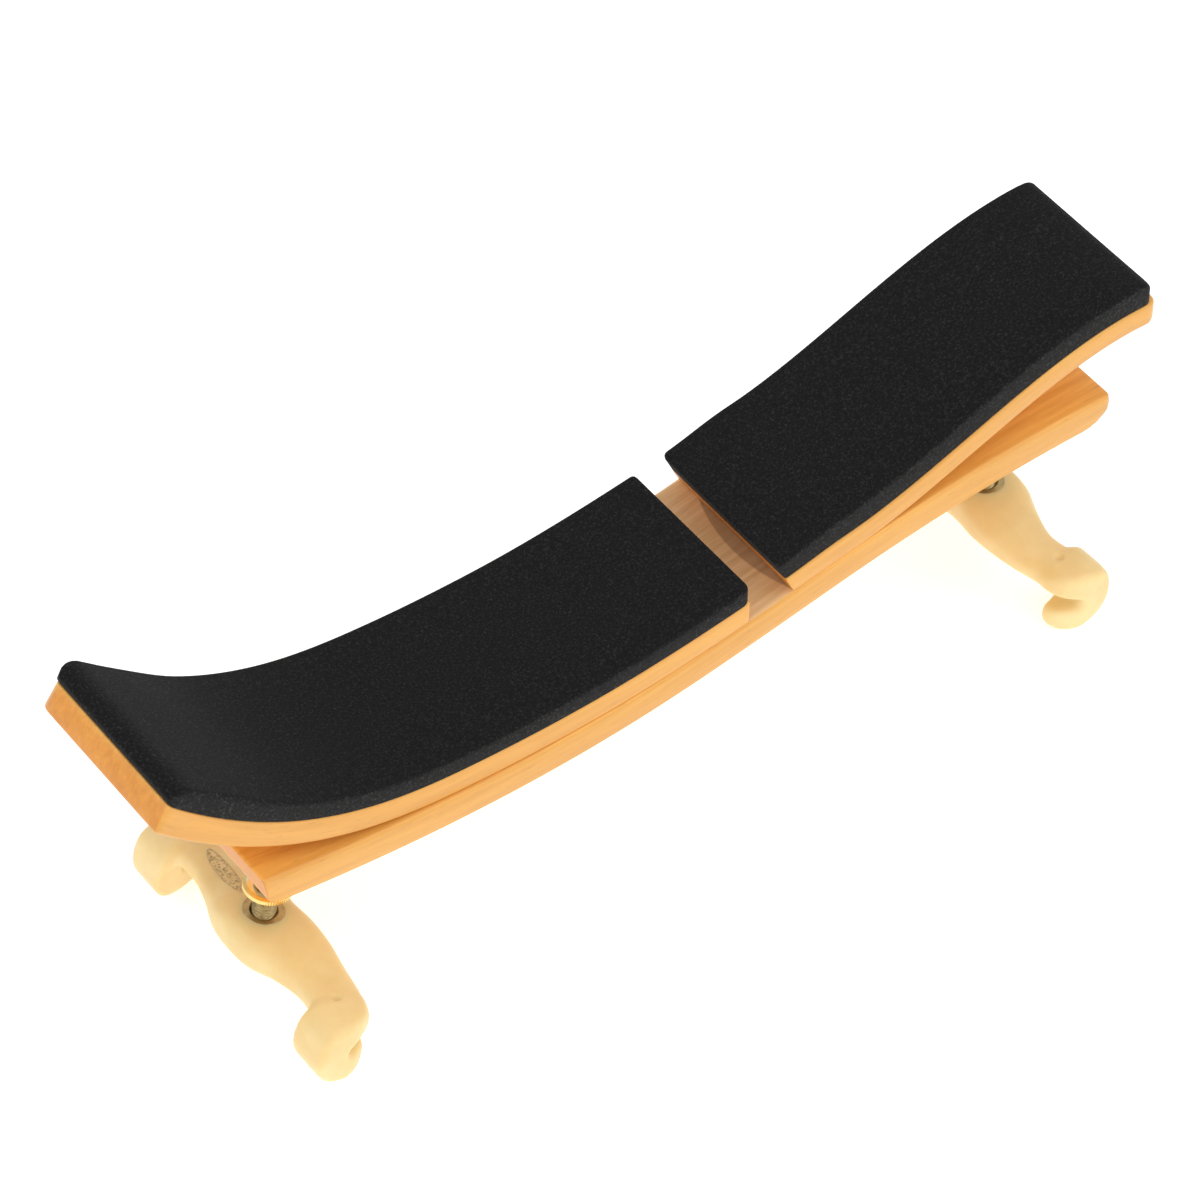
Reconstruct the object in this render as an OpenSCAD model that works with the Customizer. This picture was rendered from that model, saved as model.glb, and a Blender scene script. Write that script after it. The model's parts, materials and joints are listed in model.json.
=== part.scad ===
// Violin shoulder rest: a curved wooden bar that carries two bent boards with foam
// pads, and stands on two rubber forks whose claws grip the edge of the violin.
// Millimetres. X runs along the rest, Y across it and Z up, away from the violin.
// The origin is on the resting plane, under the middle of the rest.

/* [Bar] */
// X of the bar's left end
bar_left_x = -102; // [-106:0.5:-98]
// X of the bar's right end
bar_right_x = 111; // [107:0.5:114]
// Width of the bar across the rest
bar_w = 38.4; // [34:0.2:44]
// Thickness of the bar
bar_t = 8; // [7.5:0.1:10]
// Height of the bar's top at its left end
bar_left_z = 56.3; // [54:0.1:60]
// Height of the bar's top at its lowest point
bar_low_z = 44.8; // [43:0.1:46]
// Height of the bar's top at its right end
bar_right_z = 51.3; // [50:0.1:54]

/* [Boards] */
// Width of each board
board_w = 38.4; // [33:0.1:40]
// Thickness of the left board
left_board_t = 6.2; // [5:0.1:8]
// Thickness of the right board
right_board_t = 6.0; // [5:0.1:8]
// Sideways offset of the left board at its outer end
left_board_y = 1.6; // [0:0.1:2]
// How much wider the left board is at its outer end
left_flare = 1.4; // [0:0.1:4]
// X of the left board's inner end
left_inner_x = 16.1; // [12:0.1:18]
// X of the right board's inner end
right_inner_x = 24.8; // [24:0.2:28]
// Height that the left board's outer end curls up above the bar's line
left_curl = 22.1; // [15:0.1:24]
// Height that the right board's outer end rises above the bar's line
right_rise = 16.3; // [14:0.1:20]

/* [Pads] */
// Thickness of the left foam pad
left_pad_t = 4.5; // [3:0.1:7]
// Thickness of the right foam pad
right_pad_t = 6.2; // [3:0.1:7]
// Bare wood beyond the right pad's outer end
pad_inset = 0.8; // [0:0.1:4]

/* [Forks] */
// X on the bar's top of the left stem
left_stem_x = -83.8; // [-86:0.1:-82]
// X on the bar's top of the right stem
right_stem_x = 97.3; // [94:0.1:98]
// Length of bare stem between the left fork and the bar
left_reach = 26.5; // [24:0.1:27]
// Length of bare stem between the right fork and the bar
right_reach = 26; // [24:0.1:27]
// Sideways distance from the stem to the middle of a claw
claw_y = 28.8; // [27:0.1:33]
// Width of a claw
claw_w = 9.2; // [8:0.1:12]
// Half width of the fork's arm at the hub
hub_half_w = 8; // [7:0.1:10]
// Width of the fork's arm at the ankle
ankle_w = 10; // [9:0.1:13]

/* [Hardware] */
// Diameter of the stem's thread
stem_d = 5; // [4.6:0.1:5.2]
// Outer diameter of the threaded inserts
insert_d = 7.4; // [7:0.1:8]
// Distance between the insert positions
insert_pitch = 13; // [11:0.5:14]
// Diameter of the thumb wheel
wheel_d = 10.4; // [9:0.1:14]
// Thickness of the thumb wheel
wheel_t = 1.8; // [1.2:0.1:3]
// Height of the thumb wheel above the fork
wheel_z = 6.1; // [3:0.1:8]

/* [Hidden] */

step = 3;             // spacing of the points along the long curves
wide = 60;            // wider than anything that it cuts
running = 0.05;       // radial clearance of a running fit
pad_gap = 0.05;       // glue line between a pad and its board

maple = [0.93, 0.68, 0.35];
foam = [0.09, 0.09, 0.10];
rubber = [0.95, 0.83, 0.62];
brass = [0.80, 0.62, 0.28];
steel = [0.62, 0.63, 0.65];

// ---------- curves ----------

// Height at x of a smooth curve through knots [x, z, slope]
function curve_z(knots, x, i = 0) =
    i < len(knots) - 2 && x > knots[i + 1][0] ? curve_z(knots, x, i + 1)
    : let(a = knots[i], b = knots[i + 1], h = b[0] - a[0], t = (x - a[0]) / h)
      (2 * t^3 - 3 * t^2 + 1) * a[1] + (t^3 - 2 * t^2 + t) * h * a[2]
      + (3 * t^2 - 2 * t^3) * b[1] + (t^3 - t^2) * h * b[2];

function smooth(t) = let(s = min(1, max(0, t))) s * s * (3 - 2 * s);

bar_knots = [[bar_left_x, bar_left_z, -0.26], [-19.5, bar_low_z, 0],
             [39.5, 50.1, 0.12], [bar_right_x, bar_right_z, -0.09]];

// Top of the bar, and the undersides of the two boards that lie on it
function bar_top(x) = curve_z(bar_knots, x);
curl_start_x = -53.5;
curl_length = 67.2;
curl_power = 2.6;
function left_under(x) =
    bar_top(x) + left_curl * (max(0, curl_start_x - x) / curl_length)^curl_power;
rise_start_x = 42.5;
rise_length = 76;
function right_under(x) =
    bar_top(x) + right_rise * smooth((x - rise_start_x) / rise_length);

// Which of the three curves a shape follows
function line_z(line, x) =
    line == "bar" ? bar_top(x) : line == "left" ? left_under(x) : right_under(x);
function slope(line, x) = (line_z(line, x + 0.1) - line_z(line, x - 0.1)) / 0.2;
function normal(line, x) = let(s = slope(line, x)) [-s, 1] / norm([1, s]);
function tilt(line, x) = -atan(slope(line, x));
// The right board is thinner towards its inner end
function thin(line, x) = line == "right" ? 1 - 0.1 * (1 - smooth((x - 25) / 15)) : 1;
function off_line(line, x, d) = [x, line_z(line, x)] + normal(line, x) * d;

// Smooth closed outline through hand-placed points
function closed_curve(p, n = 5) =
    let(c = len(p))
    [for (i = [0 : c - 1], j = [0 : n - 1])
        let(t = j / n, a = p[(i + c - 1) % c], b = p[i], d = p[(i + 1) % c],
            e = p[(i + 2) % c])
        0.5 * (2 * b + (d - a) * t + (2 * a - 5 * b + 4 * d - e) * t^2
               + (3 * b - a - 3 * d + e) * t^3)];

// Outline through corners [x, y, radius], each one rounded
function corners(c, n = 6) =
    let(m = len(c))
    [for (i = [0 : m - 1], j = [0 : n])
        let(p = [c[i][0], c[i][1]], a = c[(i + m - 1) % m], b = c[(i + 1) % m],
            u = [a[0], a[1]] - p, v = [b[0], b[1]] - p, r = c[i][2], t = j / n,
            s = p + r * u / norm(u), e = p + r * v / norm(v))
        (1 - t)^2 * s + 2 * t * (1 - t) * p + t^2 * e];

// ---------- shared shapes ----------

// Side view of a strip between two depths off a line
module ribbon(line, x0, x1, low, high) {
    xs = [for (i = [floor(x0 / step) : ceil(x1 / step)]) i * step];
    n = len(xs) - 1;
    polygon(concat([for (x = xs) off_line(line, x, low * thin(line, x))],
                   [for (i = [0 : n]) off_line(line, xs[n - i], high * thin(line, xs[n - i]))]));
}

// Raises a side view into a solid that is w wide
module across(w) {
    rotate([90, 0, 0]) linear_extrude(height = w, center = true) children();
}

// Trims a strip to an outline in plan
module plan_trim(points) {
    intersection() {
        children();
        linear_extrude(height = 2 * wide) polygon(points);
    }
}

// Stands a shape on the line's surface, square to it
module on_line(line, x, d = 0) {
    p = off_line(line, x, d);
    translate([p[0], 0, p[1]]) rotate([0, tilt(line, x), 0]) children();
}

module ring(r_out, r_in, h) {
    difference() {
        cylinder(r = r_out, h = h, $fn = 64);
        translate([0, 0, -1]) cylinder(r = r_in, h = h + 2, $fn = 64);
    }
}

// ---------- bar ----------

left_insert_xs = [for (i = [0 : 2]) left_stem_x + i * insert_pitch];
right_insert_xs = [for (i = [0 : 2]) right_stem_x - i * insert_pitch];
insert_xs = concat(left_insert_xs, right_insert_xs);

// Board screws: [x, y] in the bar, two for each board
screw_y = 10;
left_screws = [[-32, 0], [4, 0]];
right_screws = [[35, -screw_y], [35, screw_y]];
screw_r = 1.6;
screw_head_r = 3.3;
screw_head_h = 2.2;
screw_bite = 4;       // length of screw inside the board
right_round = 7;      // radius under the bar's right end
left_round = 3.5;     // radius under its left end

module screw_shape(grow = 0) {
    rotate_extrude($fn = 48)
        polygon([[0, 0], [screw_head_r + grow, 0], [screw_head_r + grow, 0.4],
                 [screw_r + grow, screw_head_h], [screw_r + grow, bar_t + screw_bite - 1.5],
                 [0, bar_t + screw_bite]]);
}

module at_screws(places) {
    for (p = places)
        translate([0, p[1], 0]) on_line("bar", p[0], -bar_t) children();
}

// What a quarter round takes off below an end that faces +X
module under_end(r) {
    translate([-r, 0, r]) difference() {
        translate([0, -wide / 2, -2 * r]) cube([2 * r, wide, 2 * r]);
        rotate([90, 0, 0]) cylinder(r = r, h = wide + 2, center = true, $fn = 72);
    }
}

module base_bar() {
    color(maple) difference() {
        plan_trim(corners([[bar_left_x, -bar_w / 2, 1.2], [bar_right_x, -bar_w / 2, 1.2],
                           [bar_right_x, bar_w / 2, 1.2], [bar_left_x, bar_w / 2, 1.2]]))
            across(bar_w) ribbon("bar", bar_left_x - step, bar_right_x + step, -bar_t, 0);
        for (x = insert_xs)
            on_line("bar", x, -bar_t - 2) cylinder(d = insert_d, h = bar_t + 4, $fn = 64);
        at_screws(concat(left_screws, right_screws)) screw_shape();
        translate([bar_right_x, 0, bar_top(bar_right_x) - bar_t]) under_end(right_round);
        translate([bar_left_x, 0, bar_top(bar_left_x) - bar_t]) mirror([1, 0, 0]) under_end(left_round);
    }
}

// ---------- boards and pads ----------

left_tip = [-123.3, 87.0];    // lower corner of the left board's outer end
left_crown = [-119.5, 92.1];  // upper corner of the same end
right_outer_x = 121.9;
corner_r = 3.5;
near_r = 0.8;                 // radius of the corners on the near side
end_lean = 23;                // lean of the right board's inner end, degrees
left_near_y = left_board_y - board_w / 2;                // sides of the left board's outer end
left_far_y = left_board_y + board_w / 2 + left_flare;

// Side view of everything inboard of the left board's outer end
module left_end_cut() {
    lean = (left_crown[0] - left_tip[0]) / (left_crown[1] - left_tip[1]);
    polygon([[left_tip[0] - lean * wide, left_tip[1] - wide], [wide, left_tip[1] - wide],
             [wide, left_tip[1] + wide], [left_tip[0] + lean * wide, left_tip[1] + wide]]);
}

// Side view of everything outboard of the right board's inner end
module right_end_cut() {
    foot = [right_inner_x + right_board_t * tan(end_lean), bar_top(right_inner_x)];
    polygon([foot + wide * [tan(end_lean), -1], foot + [3 * wide, -wide],
             foot + [3 * wide, wide], foot + wide * [-tan(end_lean), 1]]);
}

module left_strip(low, high, end_x) {
    plan_trim(corners([[left_inner_x, -board_w / 2, near_r],
                       [left_inner_x - 0.6, board_w / 2, near_r],
                       [end_x, left_far_y, corner_r],
                       [end_x, left_near_y, near_r]]))
        across(wide) intersection() {
            ribbon("left", left_tip[0] - 9, left_inner_x + step, low, high);
            left_end_cut();
        }
}

module right_strip(low, high, inset) {
    y = board_w / 2;
    plan_trim(corners([[right_inner_x - 4, -y, 0.1], [right_outer_x - inset, -y, corner_r],
                       [right_outer_x - inset, y, corner_r], [right_inner_x - 2.5, y, 3.5]]))
        across(wide) intersection() {
            ribbon("right", right_inner_x - 3 * step, right_outer_x + 2 * step, low, high);
            right_end_cut();
        }
}

module left_board() {
    color(maple) difference() {
        left_strip(0, left_board_t, left_tip[0]);
        at_screws(left_screws) screw_shape();
    }
}

module right_board() {
    color(maple) difference() {
        right_strip(0, right_board_t, 0);
        at_screws(right_screws) screw_shape();
    }
}

module left_pad() {
    color(foam) left_strip(left_board_t + pad_gap, left_board_t + left_pad_t, left_tip[0]);
}

module right_pad() {
    color(foam) right_strip(right_board_t + pad_gap, right_board_t + right_pad_t, pad_inset);
}

// ---------- screws and inserts ----------

module board_screws(places) {
    recess_w = 0.9;
    color(steel) at_screws(places) difference() {
        screw_shape();
        for (a = [0, 90])
            rotate([0, 0, a]) translate([-1.9, -recess_w / 2, -1]) cube([3.8, recess_w, 2.2]);
    }
}

module inserts(xs) {
    sink = 0.2;
    color(brass) for (x = xs)
        on_line("bar", x, -bar_t + sink) ring(insert_d / 2, stem_d / 2 + running, bar_t - 2 * sink);
}

// ---------- fork, in its own frame ----------
// Origin at the middle of the hub's top, +Z up the stem, +X towards the rest's middle

cap_r = 4.25;
cup_wall = 0.85;
cup_in_r = cap_r - cup_wall;
cup_floor_z = -8.1;
cup_bottom_z = -8.8;
foot_r = cup_in_r - running;
foot_low_z = -7;
foot_high_z = -5.2;
stem_tip = 1;         // how far the stem's end sits below the bar's top

module stem(reach) {
    top = reach + bar_t - stem_tip;
    slot_w = 0.8;
    color(brass) difference() {
        union() {
            translate([0, 0, foot_low_z]) cylinder(r = foot_r, h = foot_high_z - foot_low_z, $fn = 64);
            translate([0, 0, foot_low_z]) cylinder(d = stem_d, h = top - foot_low_z - 0.5, $fn = 64);
            translate([0, 0, top - 0.5]) cylinder(d1 = stem_d, d2 = stem_d - 1, h = 0.5, $fn = 64);
        }
        translate([-stem_d, -slot_w / 2, top - 1.2]) cube([2 * stem_d, slot_w, 2]);
    }
}

module thumb_wheel() {
    notch_count = 24;
    color(brass) translate([0, 0, wheel_z]) difference() {
        ring(wheel_d / 2, stem_d / 2, wheel_t);
        for (i = [0 : notch_count - 1])
            rotate([0, 0, i * 360 / notch_count]) translate([wheel_d / 2 + 0.15, 0, -1])
                cylinder(r = 0.4, h = wheel_t + 2, $fn = 16);
    }
}

module thrust_disc() {
    color(steel) translate([0, 0, cup_floor_z + 0.05]) cylinder(r = cup_in_r - 0.15, h = 1, $fn = 64);
}

// Flanged bush that closes the cup and guides the stem
module cap_bush() {
    color(brass) difference() {
        union() {
            translate([0, 0, -1]) cylinder(r = cap_r, h = 1, $fn = 64);
            translate([0, 0, foot_high_z + 0.15]) cylinder(r = cup_in_r, h = -foot_high_z - 0.65, $fn = 64);
        }
        translate([0, 0, -8]) cylinder(r = stem_d / 2 + running, h = 10, $fn = 64);
    }
}

module bush_cup() {
    color(brass) difference() {
        translate([0, 0, cup_bottom_z]) cylinder(r = cap_r, h = -1 - cup_bottom_z, $fn = 64);
        translate([0, 0, cup_floor_z]) cylinder(r = cup_in_r, h = 10, $fn = 64);
    }
}

// Edges of the arm against the distance from the hub: [distance, value, slope]
bend = 1.8;           // how far the ankle lies inboard of the hub
outer_knots = [[0, -hub_half_w, 0], [7, -hub_half_w + 1, 0.3],
               [17, bend - ankle_w / 2, 0.02], [claw_y, bend - ankle_w / 2, -0.1]];
inner_knots = [[0, hub_half_w, 0], [8, hub_half_w + 0.4, 0], [18, bend + ankle_w / 2, -0.1],
               [claw_y, bend + ankle_w / 2 - 1, 0]];
arm_top_knots = [[0, 0, 0], [5, 0, -0.05], [18, -3.2, -0.14], [claw_y, -3.2, 0.1]];
arm_low_knots = [[0, -9.8, 0], [8, -9.8, 0.05], [16, -8.8, 0.2], [22.5, -7.4, 0.02], [claw_y, -7.4, 0]];
core_t = 1.6;
core_half_w = 3;
core_end_y = 27;
core_knots = [[0, -4.4, 0], [8, -4.5, -0.08], [18, -5.2, -0.02], [core_end_y, -5.3, 0]];

// Claw in side view: back, bottom, lower lip, throat and upper jaw
claw_points = [[0, -1.9], [-4.2, -2.9], [-7, -6.4], [-7.8, -11.5], [-6.4, -15.6], [-3.4, -17.6],
               [-0.4, -18.2], [2.4, -17.9], [4.3, -16.6], [4.7, -14.8], [3.6, -13.7],
               [1, -13.3], [-0.9, -12.6], [-1.3, -10.5], [-0.9, -8.4], [1, -7.6],
               [3.4, -7.5], [5.1, -6.6], [5.6, -4.6], [3.6, -2.4]];

function mirrored(knots, reach) =
    [for (i = [-14 : 14]) [i * reach / 14, curve_z(knots, abs(i * reach / 14))]];

function reversed(p) = [for (i = [len(p) - 1 : -1 : 0]) p[i]];

// Side view, across the rest, of a band that follows the arm
module arm_band(top, low, reach) {
    polygon(concat(mirrored(top, reach), reversed(mirrored(low, reach))));
}

// Turns a view drawn as [across, up] into a solid that is w long
module along(w) {
    rotate([90, 0, 90]) linear_extrude(height = w, center = true) children();
}

module fork_core() {
    low = [for (k = core_knots) [k[0], k[1] - core_t, k[2]]];
    color(steel) difference() {
        along(2 * core_half_w + 6) arm_band(core_knots, low, core_end_y);
        translate([0, 0, -wide / 2]) cylinder(r = cap_r, h = wide, $fn = 64);
        for (s = [-1, 1])
            translate([s * wide / 2 + s * core_half_w, 0, 0]) difference() {
                cube([wide, wide, wide], center = true);
                translate([-s * wide / 2 - s * core_half_w, 0, -wide / 2])
                    cylinder(r = core_half_w + 3, h = wide, $fn = 64);
            }
    }
}

// Plan view of the arm, between its outer and inner edges
module arm_plan() {
    polygon(concat([for (p = mirrored(outer_knots, claw_y)) [p[1], p[0]]],
                   [for (p = reversed(mirrored(inner_knots, claw_y))) [p[1], p[0]]]));
}

module fork_grip() {
    low_corner = 5;
    top_corner = 2;
    side = hub_half_w + 1;
    color(rubber) difference() {
        union() {
            intersection() {
                along(wide) arm_band(arm_top_knots, arm_low_knots, claw_y);
                translate([0, 0, -wide / 2]) linear_extrude(height = wide) arm_plan();
                across(wide) polygon(corners([[-side, 0, top_corner], [side, 0, top_corner],
                                              [side, -12, low_corner], [-side, -12, low_corner]]));
            }
            for (s = [-1, 1])
                translate([0, s * claw_y, 0]) across(claw_w) polygon(closed_curve(claw_points));
        }
        translate([0, 0, cup_bottom_z]) cylinder(r = cap_r, h = wide, $fn = 64);
        fork_core();
    }
}

// ---------- the two ends ----------

module at_left() {
    on_line("bar", left_stem_x, -bar_t - left_reach) children();
}

module at_right() {
    on_line("bar", right_stem_x, -bar_t - right_reach) mirror([1, 0, 0]) children();
}

base_bar();
left_board();
right_board();
left_pad();
right_pad();
board_screws(left_screws);  // left_board_screws
board_screws(right_screws);  // right_board_screws
inserts(left_insert_xs);  // left_inserts
inserts(right_insert_xs);  // right_inserts
at_left() stem(left_reach);  // left_stem
at_left() thumb_wheel();  // left_thumb_wheel
at_left() thrust_disc();  // left_thrust_disc
at_left() cap_bush();  // left_cap_bush
at_left() bush_cup();  // left_bush_cup
at_left() fork_core();  // left_fork_core
at_left() fork_grip();  // left_fork_grip
at_right() stem(right_reach);  // right_stem
at_right() thumb_wheel();  // right_thumb_wheel
at_right() thrust_disc();  // right_thrust_disc
at_right() cap_bush();  // right_cap_bush
at_right() bush_cup();  // right_bush_cup
at_right() fork_core();  // right_fork_core
at_right() fork_grip();  // right_fork_grip
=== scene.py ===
"""Looks of the violin shoulder rest: bent wooden boards with foam pads on a bar, two rubber forks."""
import json
import math

import bpy
import numpy as np
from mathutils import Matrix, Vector


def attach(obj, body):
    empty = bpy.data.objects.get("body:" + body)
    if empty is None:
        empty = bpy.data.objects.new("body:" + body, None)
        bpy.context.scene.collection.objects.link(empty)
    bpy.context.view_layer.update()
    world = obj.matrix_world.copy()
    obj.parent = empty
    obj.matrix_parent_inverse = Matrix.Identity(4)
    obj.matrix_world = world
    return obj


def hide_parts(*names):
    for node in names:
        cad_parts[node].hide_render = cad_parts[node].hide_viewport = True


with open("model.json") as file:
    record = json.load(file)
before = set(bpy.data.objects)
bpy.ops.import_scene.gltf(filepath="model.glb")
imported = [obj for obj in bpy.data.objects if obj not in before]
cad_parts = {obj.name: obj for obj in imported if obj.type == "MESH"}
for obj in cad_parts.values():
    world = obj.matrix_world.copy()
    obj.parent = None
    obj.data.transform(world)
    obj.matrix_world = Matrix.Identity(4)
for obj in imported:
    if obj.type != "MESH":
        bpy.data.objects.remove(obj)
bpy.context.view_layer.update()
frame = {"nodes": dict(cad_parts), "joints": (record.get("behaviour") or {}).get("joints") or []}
MM = 0.001

# ---------- curves of the rest, in millimetres: the same ones as the CAD model's ----------

BAR_T = 8.0
BAR_KNOTS = np.array([[-102, 56.3, -0.26], [-19.5, 44.8, 0], [39.5, 50.1, 0.12], [111, 51.3, -0.09]])
CURL_START, CURL_LENGTH, CURL_POWER, LEFT_CURL = -53.5, 67.2, 2.6, 22.1
RISE_START, RISE_LENGTH, RIGHT_RISE = 42.5, 76.0, 16.3


def smooth(t):
    """Smooth step from 0 to 1."""
    s = np.clip(t, 0, 1)
    return s * s * (3 - 2 * s)


def hermite(knots, x):
    """Smooth curve through knots [x, value, slope]."""
    x = np.asarray(x, float)
    i = np.clip(np.searchsorted(knots[:, 0], x) - 1, 0, len(knots) - 2)
    a, b = knots[i], knots[i + 1]
    h = b[..., 0] - a[..., 0]
    t = (x - a[..., 0]) / h
    return ((2 * t**3 - 3 * t**2 + 1) * a[..., 1] + (t**3 - 2 * t**2 + t) * h * a[..., 2]
            + (3 * t**2 - 2 * t**3) * b[..., 1] + (t**3 - t**2) * h * b[..., 2])


def line_z(line, x):
    """Height of the bar's top, or of the underside of the left or right board."""
    z = hermite(BAR_KNOTS, x)
    if line == "left":
        z = z + LEFT_CURL * (np.maximum(0, CURL_START - x) / CURL_LENGTH) ** CURL_POWER
    if line == "right":
        z = z + RIGHT_RISE * smooth((x - RISE_START) / RISE_LENGTH)
    return z


def thin(line, x):
    """The right board is thinner towards its inner end."""
    return 1 - 0.1 * (1 - smooth((x - 25) / 15)) if line == "right" else np.ones_like(x)


def off_line(line, x, depth):
    """Point at a depth off a line, square to it: x and z."""
    x = np.asarray(x, float)
    slope = (line_z(line, x + 0.1) - line_z(line, x - 0.1)) / 0.2
    size = np.sqrt(1 + slope**2)
    d = depth * thin(line, x)
    return x - slope / size * d, line_z(line, x) + d / size


def cut_at(line, depth, cut):
    """Place along the line where a depth meets a cut: a straight line through (x, z) with a lean."""
    x0, z0, lean = cut
    low, high = x0 - 25.0, x0 + 25.0
    for _ in range(40):
        mid = (low + high) / 2
        px, pz = off_line(line, mid, depth)
        if px - x0 - lean * (pz - z0) < 0:
            low = mid
        else:
            high = mid
    return (low + high) / 2


# ---------- mesh helpers ----------

def make_object(name, points, faces, material, body, stands_for=(), grain=None, sharp=40):
    """Mesh object from points in millimetres, riding on a body."""
    mesh = bpy.data.meshes.new(name)
    mesh.from_pydata((np.asarray(points) * MM).tolist(), [], [list(map(int, f)) for f in faces])
    mesh.validate()
    if grain is not None:
        layer = mesh.attributes.new("grain", "FLOAT_VECTOR", "POINT")
        layer.data.foreach_set("vector", (np.asarray(grain) * MM).astype(np.float32).ravel())
    mesh.shade_smooth()
    mesh.set_sharp_from_angle(angle=math.radians(sharp))
    mesh.materials.append(material)
    obj = bpy.data.objects.new(name, mesh)
    bpy.context.scene.collection.objects.link(obj)
    if stands_for:
        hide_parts(*stands_for)
    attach(obj, body)
    return obj


def grid_faces(rows, columns, first=0, flip=False):
    """Quads of a grid of points numbered row by row from first."""
    faces = []
    for i in range(rows - 1):
        for j in range(columns - 1):
            a = first + i * columns + j
            quad = [a, a + columns, a + columns + 1, a + 1]
            faces.append(quad[::-1] if flip else quad)
    return faces


def border(rows, columns, first=0):
    """Numbers of a grid's border points, once round."""
    at = lambda i, j: first + i * columns + j
    return ([at(i, 0) for i in range(rows)] + [at(rows - 1, j) for j in range(1, columns)]
            + [at(i, columns - 1) for i in range(rows - 2, -1, -1)]
            + [at(0, j) for j in range(columns - 2, 0, -1)])


ACROSS = np.array([0, .015, .05, .12, .2, .3, .4, .5, .6, .7, .8, .88, .95, .985, 1])
CORNER_STEPS = 8
ROUND_STEPS = 5


def slab(line, depths, cuts, near, far, corner, rounding, crown=0.0, pitch=2.0, relief=None, rolls=()):
    """Points, faces and grain of a strip bent along a line.
    near and far are the Y of its sides at the two ends; corner holds the plan radii
    [near left, far left, near right, far right]; rounding the bottom and top edge radii.
    Each roll (end, kept side, length, least) thins the strip to a share of itself at an end."""
    low, high = depths
    turn = np.linspace(0, math.pi / 2, CORNER_STEPS)
    reach = [max(corner[0], corner[1]), max(corner[2], corner[3])]
    count = int((cuts[1][0] - cuts[0][0]) / pitch)

    def level(inset, depth, bulge=0.0):
        xa = cut_at(line, depth, cuts[0]) + inset
        xb = cut_at(line, depth, cuts[1]) - inset
        ra, rb = max(reach[0] - inset, 0.3), max(reach[1] - inset, 0.3)
        start = xa + ra * (1 - np.cos(turn))
        stop = xb - rb * (1 - np.cos(turn[::-1]))
        x = np.concatenate([start, np.linspace(start[-1], stop[0], count)[1:-1], stop])
        share = (x - xa) / (xb - xa)

        def side(pair, radii, sign):
            y = pair[0] + share * (pair[1] - pair[0])
            pull = np.zeros_like(x)
            for s, r in ((x - xa, radii[0]), (xb - x, radii[1])):
                r = max(r - inset, 0.05)
                k = np.clip(r - s, 0, r)
                pull = np.maximum(pull, r - np.sqrt(r * r - k * k))
            return y + sign * (inset + pull)

        y0 = side(near, (corner[0], corner[2]), 1)
        y1 = side(far, (corner[1], corner[3]), -1)
        y = y0[:, None] + ACROSS[None, :] * (y1 - y0)[:, None]
        xx = np.repeat(x[:, None], len(ACROSS), 1)
        dd = np.full_like(xx, depth)
        for end, kept, length, least in rolls:
            s = inset + ((xx - xa) if end == "left" else (xb - xx))
            k = np.clip(1 - s / length, 0, 1)
            share_left = least + (1 - least) * np.sqrt(1 - k * k)
            base = low if kept == "low" else high
            dd = base + (dd - base) * share_left
        if bulge:
            edge = np.minimum(np.minimum(xx - xa, xb - xx) / 9, 1)
            dd += bulge * smooth(edge) * (1 - (2 * ACROSS[None, :] - 1) ** 4)
        if relief is not None:
            dd += relief(xx, y) * min(1, inset + 0.3) * (depth - low) / (high - low)
        px, pz = off_line(line, xx, dd)
        return np.stack([px, y, pz], -1), np.stack([xx, y, dd], -1)

    rb, rt = rounding
    phis = np.linspace(math.pi / 2, 0, ROUND_STEPS)
    steps = [(rb + 0.4, low)] + [(rb * (1 - math.cos(p)), low + rb * (1 - math.sin(p))) for p in phis]
    steps += [(rt * (1 - math.cos(p)), high - rt * (1 - math.sin(p))) for p in phis[::-1]]
    points, grain, faces, loops = [], [], [], []
    first = 0
    for k, (inset, depth) in enumerate(steps):
        p, g = level(inset, depth)
        rows, columns = p.shape[:2]
        ring = border(rows, columns)
        flat_p, flat_g = p.reshape(-1, 3), g.reshape(-1, 3)
        if k == 0:
            points.append(flat_p)
            grain.append(flat_g)
            faces += grid_faces(rows, columns, first)
            loops.append([first + r for r in ring])
            first += len(flat_p)
        else:
            points.append(flat_p[ring])
            grain.append(flat_g[ring])
            loops.append(list(range(first, first + len(ring))))
            first += len(ring)
    p, g = level(rt + 0.4, high, crown)
    rows, columns = p.shape[:2]
    points.append(p.reshape(-1, 3))
    grain.append(g.reshape(-1, 3))
    faces += grid_faces(rows, columns, first, flip=True)
    loops.append([first + r for r in border(rows, columns)])
    for a, b in zip(loops, loops[1:]):
        n = len(a)
        faces += [[a[i], b[i], b[(i + 1) % n], a[(i + 1) % n]] for i in range(n)]
    return np.concatenate(points), faces, np.concatenate(grain)


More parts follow.
